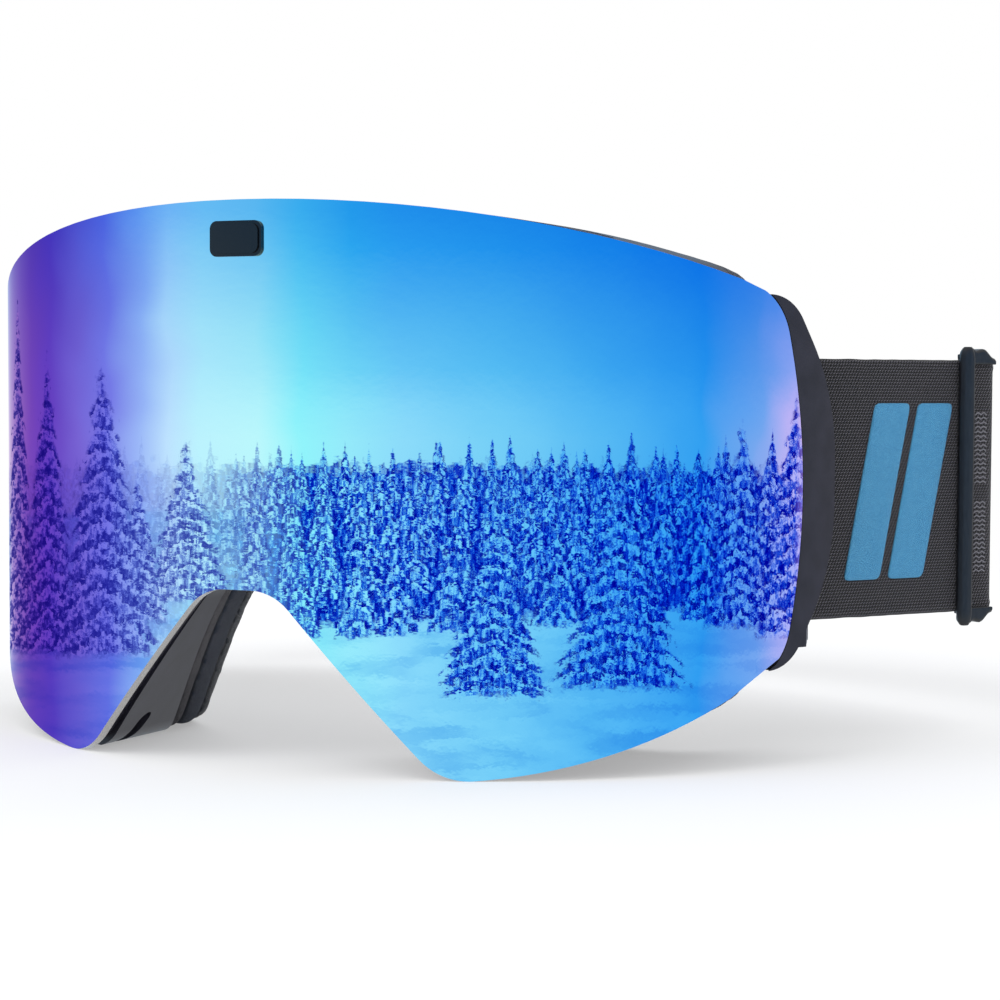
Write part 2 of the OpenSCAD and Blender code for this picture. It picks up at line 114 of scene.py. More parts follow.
def applyModifiers(piece):
    graph = bpy.context.evaluated_depsgraph_get()
    mesh = bpy.data.meshes.new_from_object(piece.evaluated_get(graph), depsgraph=graph)
    piece.modifiers.clear()
    old = piece.data
    piece.data = mesh
    bpy.data.meshes.remove(old)
    return piece


def faceOutward(piece):
    work = bmesh.new()
    work.from_mesh(piece.data)
    bmesh.ops.recalc_face_normals(work, faces=work.faces)
    work.to_mesh(piece.data)
    work.free()


def soften(piece, voxel, rounds):
    # one closed skin over all the solids of the piece, with its edges eased
    remesh = piece.modifiers.new("remesh", "REMESH")
    remesh.mode = "VOXEL"
    remesh.voxel_size = voxel
    smooth = piece.modifiers.new("smooth", "SMOOTH")
    smooth.factor = 0.5
    smooth.iterations = rounds
    applyModifiers(piece)


def paint(nodeNames, material):
    for name in nodeNames:
        mesh = nodes[name].data
        mesh.materials.clear()
        mesh.materials.append(material)


# camera, light and floor

# degrees, metres and, for the focal length, mm on a 36 mm sensor
view = dict(azimuth=25.21, elevation=2.85, roll=0.26, across=0.21538, ahead=0.349618,
            height=0.068291, focal=84.26)
studio = dict(ambient=0.98, floorHalf=3.0, floorNear=0.16, floorFar=0.45, nearWhite=0.35)
lamps = [
    dict(name="keyLamp", place=(-0.5, -0.9, 1.1), size=1.0, power=6.0, colour="#ffffff"),
    dict(name="backLamp", place=(0.6, 0.9, 0.9), size=0.7, power=2.0, colour="#f4f8ff"),
]
lampTarget = Vector((0, 0, 0.05))

cameraData = bpy.data.cameras.new("camera")
cameraData.lens = view["focal"]
cameraData.sensor_width = 36.0
cameraData.clip_start = 0.01
camera = bpy.data.objects.new("camera", cameraData)
bpy.context.scene.collection.objects.link(camera)
camera.location = (view["across"], lensFront - view["ahead"], view["height"])
turn = Euler((math.radians(90 - view["elevation"]), 0, math.radians(view["azimuth"]))).to_matrix()
camera.rotation_euler = (turn @ Matrix.Rotation(math.radians(view["roll"]), 3, "Z")).to_euler()
bpy.context.scene.camera = camera

for lampStyle in lamps:
    lampData = bpy.data.lights.new(lampStyle["name"], "AREA")
    lampData.shape = "DISK"
    lampData.size = lampStyle["size"]
    lampData.energy = lampStyle["power"]
    lampData.color = toLinear(lampStyle["colour"])[:3]
    lamp = bpy.data.objects.new(lampStyle["name"], lampData)
    bpy.context.scene.collection.objects.link(lamp)
    lamp.location = lampStyle["place"]
    away = lampTarget - lamp.location
    lamp.rotation_euler = away.to_track_quat("-Z", "Y").to_euler()
    lamp.visible_glossy = False

floorMaterial, tree = newMaterial("paleFloor")
grain = addNode(tree, "TexNoise", {"Scale": 40.0, "Detail": 2.0})
tint = addNode(tree, "ValToRGB", [grain], stops=[(0.3, "#f4f5f7"), (0.7, "#f7f8fa")])
matt = addNode(tree, "BsdfDiffuse", {"Color": tint})
# far off, the camera sees it as white as the backdrop
distance = addNode(tree, "VectorMath", [addNode(tree, "TexCoord").outputs["Object"]],
    "LENGTH").outputs["Value"]
far = addNode(tree, "MapRange", [distance, studio["floorNear"], studio["floorFar"],
    studio["nearWhite"], 1.0])
fade = addNode(tree, "Math", [far, addNode(tree, "LightPath").outputs["Is Camera Ray"]], "MULTIPLY")
finishMaterial(tree, addNode(tree, "MixShader", [fade, matt, addNode(tree, "Emission",
    {"Color": (1, 1, 1, 1), "Strength": 1.0})]))
half = studio["floorHalf"]
floor = newPiece("floor", [(-half, -half, 0), (half, -half, 0), (half, half, 0), (-half, half, 0)],
                 [(0, 1, 2, 3)], [floorMaterial])
floor.visible_glossy = False
bpy.context.scene.view_settings.view_transform = "Standard"


# what the mirror lens reflects: a winter hillside, seen by glossy rays only

hill = dict(
    # where it is centred and how many degrees one lens radius spans; the rest is in lens radii
    facing=25.2, unit=11.6, skyFrom=-0.12, skyTo=0.36, sunFrom=-0.25, sunTo=-0.62,
    groundLine=-0.25, crownLine=-0.10, skirtLine=-0.50, thinFrom=-0.56, thinTo=-0.34,
    openSky=[(0.0, "#dbf0fa"), (0.13, "#ceebfa"), (0.31, "#a1d9f6"), (0.48, "#8bccf3"),
             (0.84, "#44aaef"), (1.0, "#389eeb")],
    sunSky=[(0.0, "#ffffff"), (0.31, "#eef7fd"), (0.48, "#e1f1fb"),
            (0.84, "#b4daf7"), (1.0, "#95cbf6")],
    snow=[(0.32, "#a9d2f3"), (0.5, "#cfeafa"), (0.7, "#e2f4fd")],
    openTree=[(0.37, "#00049a"), (0.46, "#0322c8"), (0.52, "#2c86ee"), (0.58, "#c8eeff")],
    sunTree=[(0.36, "#484ca8"), (0.45, "#6a6ebc"), (0.52, "#a4aee4"), (0.59, "#f4f6ff")],
)
# distances here are in lens radii, as the reflection is seen on the lens
treeRows = [
    dict(width=0.046, base=-0.250, tall=0.125, spread=0.50, rise=0.02, seed=3.0),
    dict(width=0.055, base=-0.300, tall=0.150, spread=0.50, rise=0.03, seed=11.0),
    dict(width=0.067, base=-0.365, tall=0.180, spread=0.45, rise=0.04, seed=23.0),
    dict(width=0.082, base=-0.440, tall=0.210, spread=0.45, rise=0.05, seed=37.0),
    dict(width=0.098, base=-0.520, tall=0.240, spread=0.50, rise=0.06, seed=53.0),
]
# centre, foot, height and half width of each tree that stands apart
nearTrees = [dict(centre=c, base=b, tall=t, half=h, tiers=13.0) for c, b, t, h in (
    (-0.58, -0.46, 0.34, 0.095), (-0.68, -0.50, 0.30, 0.065), (0.52, -0.51, 0.42, 0.085),
    (0.63, -0.53, 0.50, 0.090), (-0.955, -0.56, 0.72, 0.050), (-0.88, -0.56, 0.60, 0.080),
    (-0.755, -0.57, 0.62, 0.115), (0.28, -0.64, 0.45, 0.130), (0.03, -0.66, 0.40, 0.110))]


def conifer(tree, across, up, ragged, shades, shape):
    # share is how far up the trunk a point is, out how far along a bough
    share = addNode(tree, "Math", [addNode(tree, "Math", [up, shape["base"]], "SUBTRACT"),
        shape["tall"]], "DIVIDE")
    out = addNode(tree, "Math", [addNode(tree, "Math", [addNode(tree, "Math",
        [across, shape["centre"]], "SUBTRACT")], "ABSOLUTE"), shape["half"]], "DIVIDE")
    hang = addNode(tree, "Math", [out, 1.5, addNode(tree, "Math", [ragged, 2.0], "MULTIPLY")],
        "MULTIPLY_ADD")
    tier = addNode(tree, "Math", [addNode(tree, "Math", [share, shape["tiers"], hang],
        "MULTIPLY_ADD")], "FRACT")
    taper = addNode(tree, "Math", [1.0, share], "SUBTRACT")
    reach = addNode(tree, "Math", [taper, addNode(tree, "Math", [tier, -0.38, 1.10],
        "MULTIPLY_ADD")], "MULTIPLY")
    edge = addNode(tree, "Math", [ragged, 0.5, addNode(tree, "Math", [reach, 0.25], "SUBTRACT")],
        "MULTIPLY_ADD")
    inside = addNode(tree, "MapRange", [addNode(tree, "Math", [edge, out], "SUBTRACT"), -0.03, 0.05,
        0.0, 1.0])
    standing = addNode(tree, "MapRange", [share, -0.01, 0.02, 0.0, 1.0])
    mask = addNode(tree, "Math", [inside, standing], "MULTIPLY")
    # snow lies along the top of each bough and thickens towards the light
    snow = addNode(tree, "Math", [tier, 0.22, addNode(tree, "Math", [shades["fine"], -0.11],
        "ADD")], "MULTIPLY_ADD")
    colours = [addNode(tree, "ValToRGB", [snow], stops=hill[name]) for name in ("openTree",
        "sunTree")]
    shade = addNode(tree, "Mix", {0: shades["sunny"], 6: colours[0], 7: colours[1]},
        data_type="RGBA")
    return mask, shade.outputs[2]


def standIn(tree, across, row):
    # one tree to each width of the row, every one of its own place and height
    slot = addNode(tree, "Math", [across, row["width"]], "DIVIDE")
    number = addNode(tree, "Math", [slot], "FLOOR")
    pick = addNode(tree, "TexWhiteNoise", {"W": addNode(tree, "Math", [number, row["seed"]],
        "ADD")}, noise_dimensions="1D")
    picks = addNode(tree, "SeparateColor", [pick.outputs["Color"]])
    centre = addNode(tree, "Math", [addNode(tree, "Math", [number, addNode(tree, "Math",
        [picks.outputs[0], 0.3, 0.35], "MULTIPLY_ADD")], "ADD"), row["width"]], "MULTIPLY")
    tall = addNode(tree, "Math", [picks.outputs[1], row["spread"] * row["tall"],
        row["tall"] * (1 - row["spread"] / 2)], "MULTIPLY_ADD")
    base = addNode(tree, "Math", [across, row["rise"], row["base"]], "MULTIPLY_ADD")
    return dict(centre=centre, base=base, tall=tall, half=row["width"] * 0.5, tiers=7.0)


def winterHill(tree):
    towards = addNode(tree, "TexCoord").outputs["Generated"]
    part = addNode(tree, "SeparateXYZ", [towards])
    ahead = addNode(tree, "Math", [part.outputs[1], -1.0], "MULTIPLY")
    azimuth = addNode(tree, "Math", [part.outputs[0], ahead], "ARCTAN2")
    across = addNode(tree, "Math", [addNode(tree, "Math", [azimuth, 0.5,
        -math.radians(hill["facing"]) / 2], "MULTIPLY_ADD")], "SINE")
    height = addNode(tree, "Math", [part.outputs[2]], "ARCSINE")
    up = addNode(tree, "Math", [height, 180 / math.pi / hill["unit"]], "MULTIPLY")
    flat = addNode(tree, "CombineXYZ", [across, up])
    skyPlace = addNode(tree, "MapRange", [up, hill["skyFrom"], hill["skyTo"], 0.0, 1.0])
    sunny = addNode(tree, "MapRange", [across, hill["sunFrom"], hill["sunTo"], 0.0, 1.0])
    skies = [addNode(tree, "ValToRGB", [skyPlace], stops=hill[name]) for name in ("openSky",
        "sunSky")]
    sky = addNode(tree, "Mix", {0: sunny, 6: skies[0], 7: skies[1]}, data_type="RGBA")
    # wind-blown snow, long drifts across the slope
    drift = addNode(tree, "TexNoise", {"Scale": 1.0, "Detail": 4.0, "Distortion": 0.6,
        "Vector": addNode(tree, "VectorMath", [flat, (5.0, 26.0, 1.0)], "MULTIPLY")})
    snow = addNode(tree, "ValToRGB", [drift], stops=hill["snow"])
    line = addNode(tree, "Math", [addNode(tree, "Math", [across, 0.03, hill["groundLine"]],
        "MULTIPLY_ADD"), up], "SUBTRACT")
    ground = addNode(tree, "MapRange", [line, -0.01, 0.01, 0.0, 1.0])
    picture = addNode(tree, "Mix", {0: ground, 6: sky.outputs[2], 7: snow},
        data_type="RGBA").outputs[2]
    ragged = addNode(tree, "TexNoise", {"Scale": 42.0, "Detail": 4.0, "Roughness": 0.6,
        "Vector": flat})
    fine = addNode(tree, "TexNoise", {"Scale": 95.0, "Detail": 4.0, "Roughness": 0.7,
        "Vector": flat})
    shades = dict(fine=fine, sunny=sunny)
    # the wood thins out where the sun shines through it
    wood = addNode(tree, "MapRange", [across, hill["thinFrom"], hill["thinTo"], 0.2, 1.0])
    # the mass of the wood behind its first trees
    crown = addNode(tree, "MapRange", [addNode(tree, "Math", [ragged, 0.14, up], "MULTIPLY_ADD"),
        hill["crownLine"], hill["crownLine"] - 0.02, 0.0, 1.0])
    skirt = addNode(tree, "MapRange", [addNode(tree, "Math", [across, -0.05, up], "MULTIPLY_ADD"),
        hill["skirtLine"], hill["skirtLine"] + 0.015, 0.0, 1.0])
    mass = addNode(tree, "Math", [addNode(tree, "Math", [crown, skirt], "MULTIPLY"), wood],
        "MULTIPLY")
    depth = addNode(tree, "Math", [fine, 0.045], "SUBTRACT")
    behind = addNode(tree, "ValToRGB", [depth], stops=hill["openTree"])
    picture = addNode(tree, "Mix", {0: mass, 6: picture, 7: behind}, data_type="RGBA").outputs[2]
    for row in treeRows:
        mask, shade = conifer(tree, across, up, ragged, shades, standIn(tree, across, row))
        mask = addNode(tree, "Math", [mask, wood], "MULTIPLY")
        picture = addNode(tree, "Mix", {0: mask, 6: picture, 7: shade}, data_type="RGBA").outputs[2]
    for shape in nearTrees:
        mask, shade = conifer(tree, across, up, ragged, shades, shape)
        picture = addNode(tree, "Mix", {0: mask, 6: picture, 7: shade}, data_type="RGBA").outputs[2]
    # beyond the hillside the surroundings are plain pale grey
    high = addNode(tree, "MapRange", [addNode(tree, "Math", [height], "ABSOLUTE"), 0.2, 0.6, 0.0,
        1.0])
    wide = addNode(tree, "MapRange", [azimuth, 1.80, 1.95, 0.0, 1.0])
    off = addNode(tree, "Math", [high, wide], "MAXIMUM")
    return addNode(tree, "Mix", {0: off, 6: picture, 7: toLinear("#e4e4e6")},
        data_type="RGBA").outputs[2]


world = bpy.data.worlds.new("studio")
world.use_nodes = True
bpy.context.scene.world = world
tree = world.node_tree
tree.nodes.clear()
ray = addNode(tree, "LightPath")
ambient = addNode(tree, "Background", [(1, 1, 1, 1), studio["ambient"]])
white = addNode(tree, "Background", [(1, 1, 1, 1), 1.0])
hillLight = addNode(tree, "Background", [winterHill(tree), 1.0])
seen = addNode(tree, "Math", [ray.outputs["Is Camera Ray"], ray.outputs["Is Transmission Ray"]],
    "MAXIMUM")
plain = addNode(tree, "MixShader", [seen, ambient, white])
addNode(tree, "OutputWorld", [addNode(tree, "MixShader", [ray.outputs["Is Glossy Ray"], plain,
    hillLight])])
print("camera, light and floor ready")


def mirrorCoat():
    # polycarbonate, vacuum-coated: a hard blue mirror that runs to violet at the wearer's right,
    # with a painted reflection of a bright glow in its pale cyan-white middle
    material, tree = newMaterial("vacuumCoatedMirror")
    place = addNode(tree, "SeparateXYZ", [addNode(tree, "TexCoord").outputs["Object"]])
    radius = lens["radius"]
    azimuth = addNode(tree, "Math", [addNode(tree, "Math", [place.outputs[0], radius], "DIVIDE")],
        "ARCSINE")
    along = addNode(tree, "MapRange", [azimuth, -1.09, 1.09, 0.0, 1.0])
    wander = addNode(tree, "TexNoise", {"Scale": 9.0, "Detail": 1.0})
    moved = addNode(tree, "Math", [wander, 0.03, addNode(tree, "Math", [along, 0.015], "SUBTRACT")],
        "MULTIPLY_ADD")
    # the coat's own tint, with a painted reflection of a bright glow in its pale cyan-white middle
    tint = addNode(tree, "ValToRGB", [moved], stops=lens["coatWithPaintedGlow"])
    # a faint orange-peel from moulding, and wipe marks that only dull the gloss
    peel = addNode(tree, "TexNoise", {"Scale": 60.0, "Detail": 2.0})
    wipe = addNode(tree, "TexNoise", {"Scale": 25.0, "Detail": 4.0, "Distortion": 1.5})
    rough = addNode(tree, "MapRange", [wipe, 0.35, 0.75, 0.008, 0.018])
    bump = addNode(tree, "Bump", {"Strength": 0.002, "Distance": 0.001, "Height": peel})
    coatWithPaintedGlow = addNode(tree, "BsdfPrincipled", {"Base Color": tint, "Roughness": rough, "Normal": bump,
        "Metallic": 1.0, "Specular Tint": toLinear("#d8b8ff")})
    # from the wearer's side the same film is a smoke-grey window
    through = addNode(tree, "BsdfTransparent", [toLinear("#8f8a93")])
    behind = addNode(tree, "NewGeometry").outputs["Backfacing"]
    finishMaterial(tree, addNode(tree, "MixShader", [behind, coatWithPaintedGlow, through]))
    return material


def lensEdge():
    # sawn and polished rim of a polycarbonate lens: pale grey, a little cloudy
    material, tree = newMaterial("polishedLensRim")
    saw = addNode(tree, "TexNoise", {"Scale": 900.0, "Detail": 2.0})
    tint = addNode(tree, "ValToRGB", [saw], stops=[(0.3, "#8b8986"), (0.7, "#c4c1bc")])
    bump = addNode(tree, "Bump", {"Strength": 0.15, "Distance": 0.0001, "Height": saw})
    finishMaterial(tree, addNode(tree, "BsdfPrincipled", {"Base Color": tint, "Roughness": 0.28,
        "Normal": bump, "IOR": 1.58, "Coat Weight": 0.4}))
    return material


def clearSheet(name, dark, light, hazeScale, rough, ior):
    # clear, glossy sheet of one even tint, with a little haze in it
    material, tree = newMaterial(name)
    haze = addNode(tree, "TexNoise", {"Scale": hazeScale, "Detail": 3.0})
    tint = addNode(tree, "ValToRGB", [haze], stops=[(0.3, dark), (0.7, light)])
    gloss = addNode(tree, "BsdfGlossy", {"Color": (1, 1, 1, 1), "Roughness": rough})
    clear = addNode(tree, "BsdfTransparent", [tint])
    edge = addNode(tree, "Fresnel", {"IOR": ior})
    finishMaterial(tree, addNode(tree, "MixShader", [edge, clear, gloss]))
    return material


def mouldedPlastic(name, dark, light, rough, grainMm, bumpMm, shine=0.5):
    # injection-moulded satin plastic: even colour, fine spark-eroded grain, soft broad highlight
    material, tree = newMaterial(name)
    grain = addNode(tree, "TexNoise", {"Scale": 1000 / grainMm, "Detail": 3.0})
    broad = addNode(tree, "TexNoise", {"Scale": 22.0, "Detail": 2.0})
    tint = addNode(tree, "ValToRGB", [broad], stops=[(0.3, dark), (0.7, light)])
    spread = addNode(tree, "MapRange", [grain, 0.3, 0.7, rough - 0.05, rough + 0.07])
    bump = addNode(tree, "Bump", {"Strength": 0.35, "Distance": bumpMm / 1000, "Height": grain})
    finishMaterial(tree, addNode(tree, "BsdfPrincipled", {"Base Color": tint, "Roughness": spread,
        "Normal": bump, "IOR": 1.5, "Specular IOR Level": shine}))
    return material


def cutFoam(name, dark, light, cellMm, deep=0.25):
    # open-cell polyurethane foam: dark pores between pale cell walls, no shine
    material, tree = newMaterial(name)
    cells = addNode(tree, "TexVoronoi", {"Scale": 1000 / cellMm, "Randomness": 1.0})
    clumps = addNode(tree, "TexNoise", {"Scale": 1000 / (cellMm * 2.2), "Detail": 3.0})
    mixed = addNode(tree, "Math", [clumps, 0.75, addNode(tree, "Math", [cells, 0.35], "MULTIPLY")],
        "MULTIPLY_ADD")
    tint = addNode(tree, "ValToRGB", [mixed], stops=[(0.46, dark), (0.60, light)])
    bump = addNode(tree, "Bump", {"Strength": 0.9, "Distance": deep / 1000, "Height": mixed})
    finishMaterial(tree, addNode(tree, "BsdfPrincipled", {"Base Color": tint, "Roughness": 0.95,
        "Normal": bump, "Sheen Weight": 0.25, "Sheen Roughness": 0.5, "Specular IOR Level": 0.15}))
    return material


def brushedFleece():
    # knitted fleece, brushed: short matted fibres that catch light at the rim
    material, tree = newMaterial("brushedFleece")
    fibre = addNode(tree, "TexNoise", {"Scale": 1700.0, "Detail": 4.0, "Distortion": 2.0})
    clump = addNode(tree, "TexNoise", {"Scale": 300.0, "Detail": 3.0})
    mixed = addNode(tree, "Math", [fibre, 0.6, addNode(tree, "Math", [clump, 0.4], "MULTIPLY")],
        "MULTIPLY_ADD")
    tint = addNode(tree, "ValToRGB", [mixed], stops=[(0.44, "#0b0d13"), (0.56, "#3b4252")])
    bump = addNode(tree, "Bump", {"Strength": 0.8, "Distance": 0.0004, "Height": mixed})
    finishMaterial(tree, addNode(tree, "BsdfPrincipled", {"Base Color": tint, "Roughness": 1.0,
        "Normal": bump, "Sheen Weight": 0.8, "Sheen Roughness": 0.35, "Specular IOR Level": 0.1}))
    return material


def flockedPrint():
    # thick raised print with a flocked top: matt sky blue, speckled by the fibres
    material, tree = newMaterial("flockedPrint")
    fibre = addNode(tree, "TexNoise", {"Scale": 1500.0, "Detail": 4.0, "Roughness": 0.7})
    patch = addNode(tree, "TexNoise", {"Scale": 420.0, "Detail": 2.0})
    mixed = addNode(tree, "Math", [fibre, 0.65, addNode(tree, "Math", [patch, 0.35], "MULTIPLY")],
        "MULTIPLY_ADD")
    tint = addNode(tree, "ValToRGB", [mixed], stops=[(0.455, "#124f86"), (0.5, "#2b88c8"),
        (0.545, "#7fd2f6")])
    bump = addNode(tree, "Bump", {"Strength": 0.7, "Distance": 0.0003, "Height": mixed})
    finishMaterial(tree, addNode(tree, "BsdfPrincipled", {"Base Color": tint, "Roughness": 0.95,
        "Normal": bump, "Sheen Weight": 0.15, "Sheen Roughness": 0.4, "Specular IOR Level": 0.15}))
    return material


def wovenElastic():
    # woven elastic webbing: slanting polyester ticks over rubber warp, in rows along the strap
    material, tree = newMaterial("wovenElastic")
    uv = addNode(tree, "UVMap", uv_map="weave")
    part = addNode(tree, "SeparateXYZ", [uv])
    shake = addNode(tree, "TexNoise", {"Vector": uv, "Scale": 900.0, "Detail": 2.0})
    # rows are rowMm high, and each is set half a tick along from the next
    rowPlace = addNode(tree, "Math", [part.outputs[1], 1000 / weave["rowMm"]], "MULTIPLY")
    rowNumber = addNode(tree, "Math", [rowPlace], "FLOOR")
    inRow = addNode(tree, "Math", [rowPlace], "FRACT")
    along = addNode(tree, "Math", [part.outputs[0], 1000 / weave["tickMm"]], "MULTIPLY")
    stepped = addNode(tree, "Math", [rowNumber, 0.42, along], "MULTIPLY_ADD")
    slanted = addNode(tree, "Math", [inRow, weave["slant"], addNode(tree, "Math", [shake, 0.35,
        stepped], "MULTIPLY_ADD")], "MULTIPLY_ADD")
    tick = addNode(tree, "Math", [addNode(tree, "Math", [addNode(tree, "Math", [slanted], "FRACT"),
        math.pi], "MULTIPLY")], "SINE")
    rounded = addNode(tree, "Math", [addNode(tree, "Math", [addNode(tree, "Math", [inRow, math.pi],
        "MULTIPLY")], "SINE"), 0.6], "POWER")
    thread = addNode(tree, "Math", [tick, rounded], "MULTIPLY")
    fleck = addNode(tree, "TexNoise", {"Vector": uv, "Scale": 2600.0, "Detail": 2.0})
    mixed = addNode(tree, "Math", [fleck, 0.35, addNode(tree, "Math", [thread, 0.8], "MULTIPLY")],
        "MULTIPLY_ADD")
    tint = addNode(tree, "ValToRGB", [mixed], stops=[(0.41, "#040406"), (0.66, "#151419"),
        (0.95, "#625f6a")])
    bump = addNode(tree, "Bump", {"Strength": 0.9, "Distance": 0.00035, "Height": thread})
    finishMaterial(tree, addNode(tree, "BsdfPrincipled", {"Base Color": tint, "Roughness": 0.8,
        "Normal": bump, "Sheen Weight": 0.2, "Sheen Roughness": 0.45, "Specular IOR Level": 0.3}))
    return material


def sewingThread():
    # bonded polyester thread: charcoal grey with a slight twist and lustre
    material, tree = newMaterial("sewingThread")
    twist = addNode(tree, "TexNoise", {"Scale": 3000.0, "Detail": 2.0})
    tint = addNode(tree, "ValToRGB", [twist], stops=[(0.3, "#605f67"), (0.7, "#92919a")])
    bump = addNode(tree, "Bump", {"Strength": 0.4, "Distance": 0.0001, "Height": twist})
    finishMaterial(tree, addNode(tree, "BsdfPrincipled", {"Base Color": tint, "Roughness": 0.6,
        "Normal": bump, "Sheen Weight": 0.3}))
    return material


def plainMetal(name, dark, light, rough):
    # drawn or plated steel: bright, with fine scratches that break the highlight
    material, tree = newMaterial(name)
    scratch = addNode(tree, "TexNoise", {"Scale": 700.0, "Detail": 3.0, "Distortion": 1.0})
    tint = addNode(tree, "ValToRGB", [scratch], stops=[(0.3, dark), (0.7, light)])
    spread = addNode(tree, "MapRange", [scratch, 0.3, 0.7, rough - 0.06, rough + 0.08])
    finishMaterial(tree, addNode(tree, "BsdfPrincipled", {"Base Color": tint, "Roughness": spread,
        "Metallic": 1.0}))
    return material


def siliconeGrip():
    # screen-printed silicone: matt, rubbery, dark grey
    material, tree = newMaterial("printedSilicone")
    grain = addNode(tree, "TexNoise", {"Scale": 800.0, "Detail": 2.0})
    tint = addNode(tree, "ValToRGB", [grain], stops=[(0.3, "#44474b"), (0.7, "#5b5e63")])
    bump = addNode(tree, "Bump", {"Strength": 0.3, "Distance": 0.0001, "Height": grain})
    finishMaterial(tree, addNode(tree, "BsdfPrincipled", {"Base Color": tint, "Roughness": 0.62,
        "Normal": bump}))
    return material


lens = dict(
    radius=0.098, thickness=0.0018, columns=360, bevel=0.00025,
    # colour of the coating from the wearer's right to the left: the blue and violet are the coat's
    # own tint; the pale cyan-white middle (0.43 to 0.64) is that tint brightened as a painted
    # reflection of a bright glow
    coatWithPaintedGlow=[(0.0, "#a8708a"), (0.15, "#8b6595"), (0.21, "#6c4aa6"), (0.26, "#6448bb"),
          (0.31, "#7766d2"), (0.355, "#7a7ce7"), (0.40, "#9bb8f8"), (0.43, "#bde2ff"),
          (0.465, "#c0f5ff"), (0.52, "#c8ffff"), (0.56, "#a1ffff"), (0.60, "#adf8ff"),
          (0.64, "#a3e9ff"), (0.72, "#89dcfc"), (0.80, "#66c6f9"), (0.89, "#3baaf6"),
          (0.945, "#89b2f4"), (0.985, "#e6c2fb")],
)
weave = dict(rowMm=0.56, tickMm=0.66, slant=0.9)

# uncoated inner face of the outer lens: lightly smoked polycarbonate
smokedBack = clearSheet("smokedPolycarbonate", "#a9a6ae", "#b9b7bf", 18.0, 0.03, 1.58)
# inner lens: cellulose acetate with an anti-fog dip, faintly warm
acetate = clearSheet("acetateSheet", "#e9ebe8", "#f4f5f2", 14.0, 0.04, 1.48)
frameTpu = mouldedPlastic("mouldedPolyurethane", "#25242d", "#2d2c37", 0.42, 0.35, 0.02, 0.30)
carrierNylon = mouldedPlastic("mouldedNylon", "#25242d", "#2d2c37", 0.42, 0.4, 0.02, 0.3)
sliderNylon = mouldedPlastic("glassFilledNylon", "#111318", "#1b1e24", 0.36, 0.35, 0.02)
badgeAbs = mouldedPlastic("glossAbs", "#060607", "#0b0b0d", 0.12, 0.8, 0.002)
spacerFoam = cutFoam("closedCellGasket", "#242428", "#3c3c42", 0.5, 0.1)
ventFoam = cutFoam("reticulatedFoam", "#1a1a1f", "#8c8c96", 0.7, 0.4)
baseFoam = cutFoam("lightCutFoam", "#242326", "#6a686d", 0.62)
middleFoam = cutFoam("darkCutFoam", "#0b0d13", "#414a5d", 0.62)
fleece = brushedFleece()
webbing = wovenElastic()
flock = flockedPrint()
thread = sewingThread()
magnetNickel = plainMetal("nickelPlate", "#b0b0b4", "#d6d6d8", 0.25)
pinSteel = plainMetal("drawnSteel", "#8c8e92", "#b4b6b9", 0.3)
silicone = siliconeGrip()

paint(["frame_shell"], frameTpu)
paint(["lens_carrier"], carrierNylon)
paint(["lens_spacer"], spacerFoam)
paint(["inner_lens"], acetate)
paint(["lens_magnets", "frame_magnets"], magnetNickel)
paint(["badge"], badgeAbs)
paint(["strap_pin_left", "strap_pin_right"], pinSteel)
paint(["top_vent_foam", "bottom_vent_foam_left", "bottom_vent_foam_right"], ventFoam)
paint(["grip_strips"], silicone)
print("materials ready")


# outer lens: one true cylinder, so that its mirror has no facets

def lensOutline():
    # the rim of the CAD lens's outer face, as closed points of arc length and height
    axis = lensFront + lens["radius"]
    work = bmesh.new()
    work.from_mesh(nodes["outer_lens"].data)
    bmesh.ops.remove_doubles(work, verts=work.verts, dist=1e-6)

    def isOuter(face):
        return all(abs(math.hypot(v.co.x, v.co.y - axis) - lens["radius"]) < 2e-5
                   for v in face.verts)

    outer = {face: isOuter(face) for face in work.faces}
    rim = []
    for edge in work.edges:
        if len(edge.link_faces) == 2 and outer[edge.link_faces[0]] != outer[edge.link_faces[1]]:
            rim.append([(lens["radius"] * math.atan2(v.co.x, axis - v.co.y), v.co.z)
                        for v in edge.verts])
    work.free()
    return rim


def spanAt(rim, across):
    # lowest and highest point of the rim at that distance round the curve
    heights = []
    for (u1, z1), (u2, z2) in rim:
        if min(u1, u2) <= across <= max(u1, u2):
            share = 0.5 if abs(u2 - u1) < 1e-9 else (across - u1) / (u2 - u1)
            heights.append(z1 + (z2 - z1) * share)
    return min(heights), max(heights)


def makeLens():
    rim = lensOutline()
    reach = max(u for edge in rim for u, z in edge) - 2e-5
    radii = [lens["radius"] - lens["thickness"], lens["radius"]]
    axis = lensFront + lens["radius"]
    vertices, faces, kinds = [], [], []
    count = lens["columns"]
    for k in range(count + 1):
        across = reach * math.sin(math.pi / 2 * (2 * k / count - 1))
        low, high = spanAt(rim, across)
        angle = across / lens["radius"]
        for radius, z in ((radii[0], low), (radii[1], low), (radii[1], high), (radii[0], high)):
            vertices.append((radius * math.sin(angle), axis - radius * math.cos(angle), z))
    for k in range(count):
        a, b = 4 * k, 4 * (k + 1)
        for corner, kind in ((0, 1), (1, 0), (2, 1), (3, 2)):
            following = (corner + 1) % 4
            faces.append((a + corner, b + corner, b + following, a + following))
            kinds.append(kind)
    last = 4 * count
    faces += [(3, 2, 1, 0), (last, last + 1, last + 2, last + 3)]
    kinds += [1, 1]
    piece = newPiece("mirrorLens", vertices, faces, [mirrorCoat(), lensEdge(), smokedBack], kinds)
    faceOutward(piece)
    bevel = piece.modifiers.new("edge", "BEVEL")
    bevel.width = lens["bevel"]
    bevel.segments = 2
    bevel.limit_method = "ANGLE"
    bevel.angle_limit = math.radians(40)
    bevel.material = 1
    bevel.harden_normals = True
    applyModifiers(piece)
    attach(piece, "lens_module")
    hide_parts("outer_lens")


makeLens()
print("lens ready")


# face foam: three layers, softened from their CAD blanks

